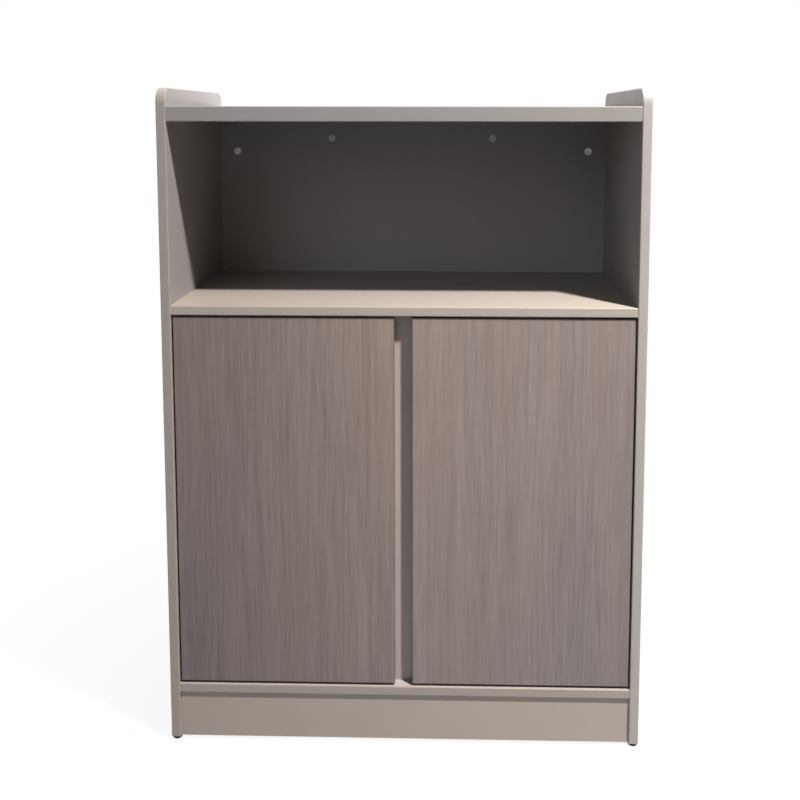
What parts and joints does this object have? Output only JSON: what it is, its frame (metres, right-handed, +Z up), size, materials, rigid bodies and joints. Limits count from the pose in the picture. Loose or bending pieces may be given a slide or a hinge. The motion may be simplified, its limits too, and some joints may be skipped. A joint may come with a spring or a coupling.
{
  "type": "low office cabinet",
  "caption": "Low office cabinet: inset dark woodgrain doors with a finger gap below an open compartment, greige boards, side panels rising as rounded ears, adjustable shelf inside.",
  "frame": {"origin": "centre of the footprint on the floor, under the glides", "axes": "+X to the right seen from the front, +Y to the back (the doors face -Y), +Z up"},
  "size_m": [0.8, 0.39, 1.116],
  "materials": {
    "greige_melamine": "chipboard faced with greige melamine, matt, faint fine texture",
    "greige_edging": "greige plastic edging, matt, rounded corners",
    "taupe_woodgrain": "chipboard faced with dark taupe woodgrain melamine, grain upright, matt",
    "taupe_edging": "thin taupe plastic edging, matt",
    "zinc_fittings": "dull zinc",
    "nickel_hinge": "nickel-plated pressed steel",
    "beech": "plain beech",
    "black_plastic": "black moulded plastic, matt",
    "clear_bumper": "soft clear plastic"
  },
  "bodies": {
    "carcass": {"side_panel_left": "greige_melamine", "side_panel_right": "greige_melamine", "side_edging_left": "greige_edging", "side_edging_right": "greige_edging", "top_board": "greige_melamine", "top_board_edging": "greige_edging", "fixed_shelf": "greige_melamine", "fixed_shelf_edging": "greige_edging", "bottom_board": "greige_melamine", "bottom_board_edging": "greige_edging", "back_panel": "greige_melamine", "centre_stile": "greige_melamine", "centre_stile_edging": "greige_edging", "front_plinth": "greige_melamine", "rear_plinth": "greige_melamine", "cams_back_panel": "zinc_fittings", "cams_boards": "zinc_fittings", "cam_bolts": "zinc_fittings", "wooden_dowels": "beech", "glides": "black_plastic", "glide_nails": "zinc_fittings", "shelf_pins": "zinc_fittings", "hinge_plates": "nickel_hinge", "hinge_plate_screws": "nickel_hinge", "hinge_arms": "nickel_hinge", "hinge_arm_screws": "nickel_hinge", "hinge_arm_pins": "nickel_hinge"},
    "left_door": {"door_left": "taupe_woodgrain", "door_left_edging": "taupe_edging", "hinge_cups_left": "nickel_hinge", "cup_screws_left": "nickel_hinge", "cup_pins_left": "nickel_hinge", "door_bumpers_left": "clear_bumper"},
    "left_outer_links": {"outer_links_left": "nickel_hinge"},
    "left_inner_links": {"inner_links_left": "nickel_hinge"},
    "right_door": {"door_right": "taupe_woodgrain", "door_right_edging": "taupe_edging", "hinge_cups_right": "nickel_hinge", "cup_screws_right": "nickel_hinge", "cup_pins_right": "nickel_hinge", "door_bumpers_right": "clear_bumper"},
    "right_outer_links": {"outer_links_right": "nickel_hinge"},
    "right_inner_links": {"inner_links_right": "nickel_hinge"},
    "shelf": {"adjustable_shelf": "greige_melamine", "adjustable_shelf_edging": "greige_edging"}
  },
  "joints": [
    {"name": "left_outer_link", "type": "hinge", "parent": "carcass", "child": "left_outer_links", "pos_m": [-0.34, -0.1705, 0.423], "axis": [0, 0, 1], "range_deg": [0, 19]},
    {"name": "left_door", "type": "hinge", "parent": "left_outer_links", "child": "left_door", "pos_m": [-0.3635, -0.1825, 0.423], "axis": [0, 0, -1], "range_deg": [0, 109]},
    {"name": "left_inner_link", "type": "hinge", "parent": "carcass", "child": "left_inner_links", "pos_m": [-0.3393, -0.154, 0.423], "axis": [0, 0, 1], "range_deg": [0, 26]},
    {"name": "right_outer_link", "type": "hinge", "parent": "carcass", "child": "right_outer_links", "pos_m": [0.34, -0.1705, 0.423], "axis": [0, 0, -1], "range_deg": [0, 19]},
    {"name": "right_door", "type": "hinge", "parent": "right_outer_links", "child": "right_door", "pos_m": [0.3635, -0.1825, 0.423], "axis": [0, 0, 1], "range_deg": [0, 109]},
    {"name": "right_inner_link", "type": "hinge", "parent": "carcass", "child": "right_inner_links", "pos_m": [0.3393, -0.154, 0.423], "axis": [0, 0, -1], "range_deg": [0, 26]},
    {"name": "shelf_lift", "type": "slide", "parent": "carcass", "child": "shelf", "axis": [0, 0, 1], "range_m": [0, 0.064]}
  ],
  "couplings": [
    {"joint": "left_outer_link", "follows": "left_door", "ratio": 0.17431},
    {"joint": "left_inner_link", "follows": "left_door", "ratio": 0.23853},
    {"joint": "right_outer_link", "follows": "right_door", "ratio": 0.17431},
    {"joint": "right_inner_link", "follows": "right_door", "ratio": 0.23853}
  ]
}
